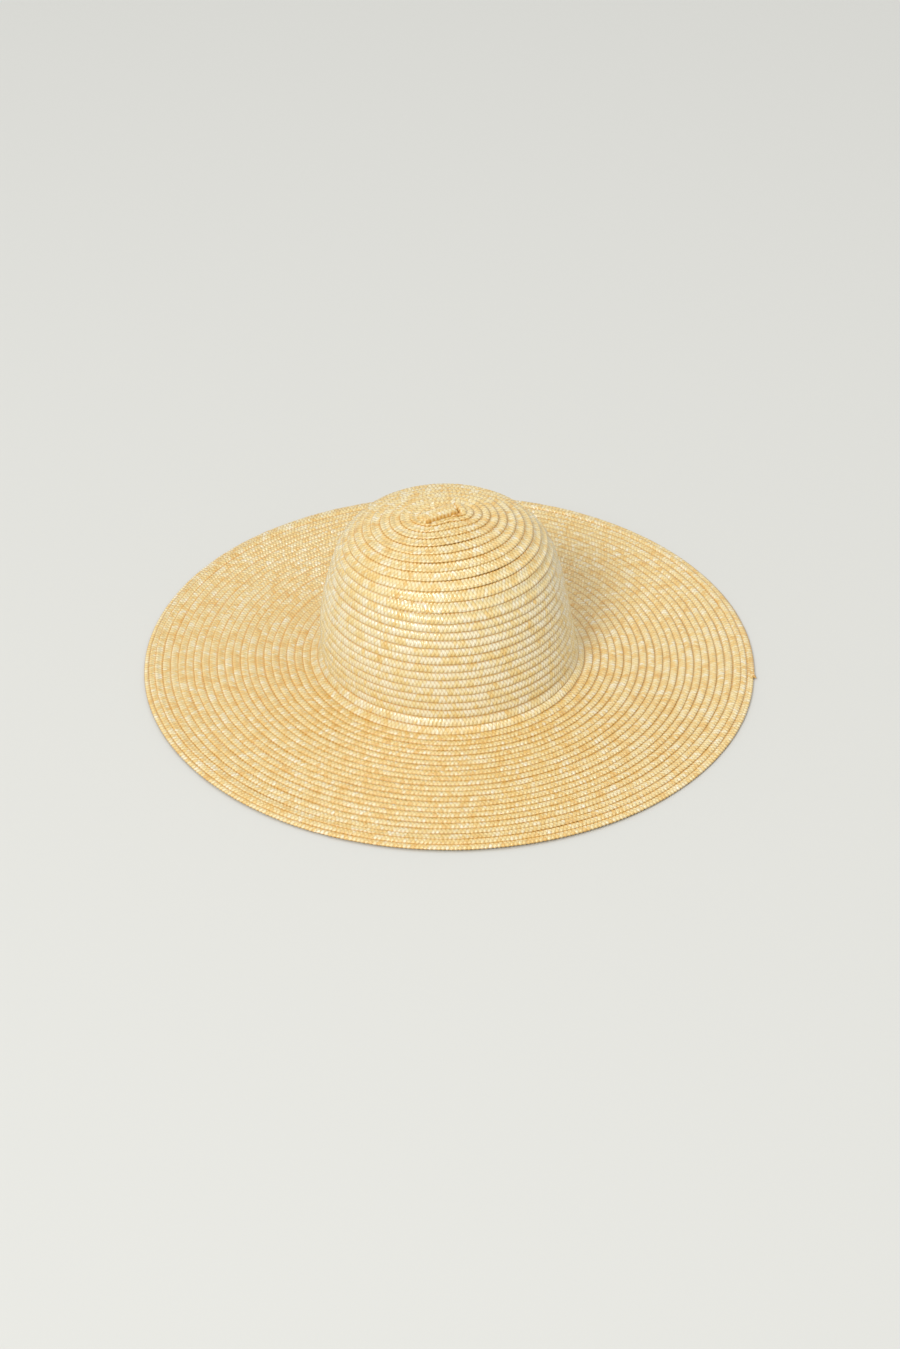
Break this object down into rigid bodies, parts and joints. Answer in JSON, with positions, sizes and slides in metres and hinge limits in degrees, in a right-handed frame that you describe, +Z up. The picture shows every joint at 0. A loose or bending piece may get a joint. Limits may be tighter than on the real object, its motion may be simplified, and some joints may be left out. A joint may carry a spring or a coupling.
{
  "type": "straw sun hat",
  "caption": "Wide-brimmed sun hat with a domed crown, sewn in a spiral from flat plaited straw braid, with a cloth sweatband inside.",
  "frame": {"origin": "on the floor, under the centre of the crown", "axes": "+Z up through the tip of the crown; -Y is the front; the size tab is at the back, on +Y"},
  "size_m": [0.4399, 0.44, 0.125],
  "materials": {
    "straw": "natural wheat straw, plaited flat, satin with bright glints",
    "thread": "straw-coloured cotton chain stitch",
    "grosgrain": "ribbed grosgrain ribbon, matt",
    "tab_cloth": "plain woven tab, blank"
  },
  "bodies": {
    "root": {"tip_start_bar": "straw", "crown_tip_braid": "straw", "crown_side_braid": "straw", "brim_braid": "straw", "brim_edge_braid": "straw", "crown_tip_thread": "thread", "crown_side_thread": "thread", "brim_thread": "thread", "brim_edge_thread": "thread", "sweatband": "grosgrain", "sweatband_stitches": "thread", "size_tab": "tab_cloth"}
  },
  "joints": []
}
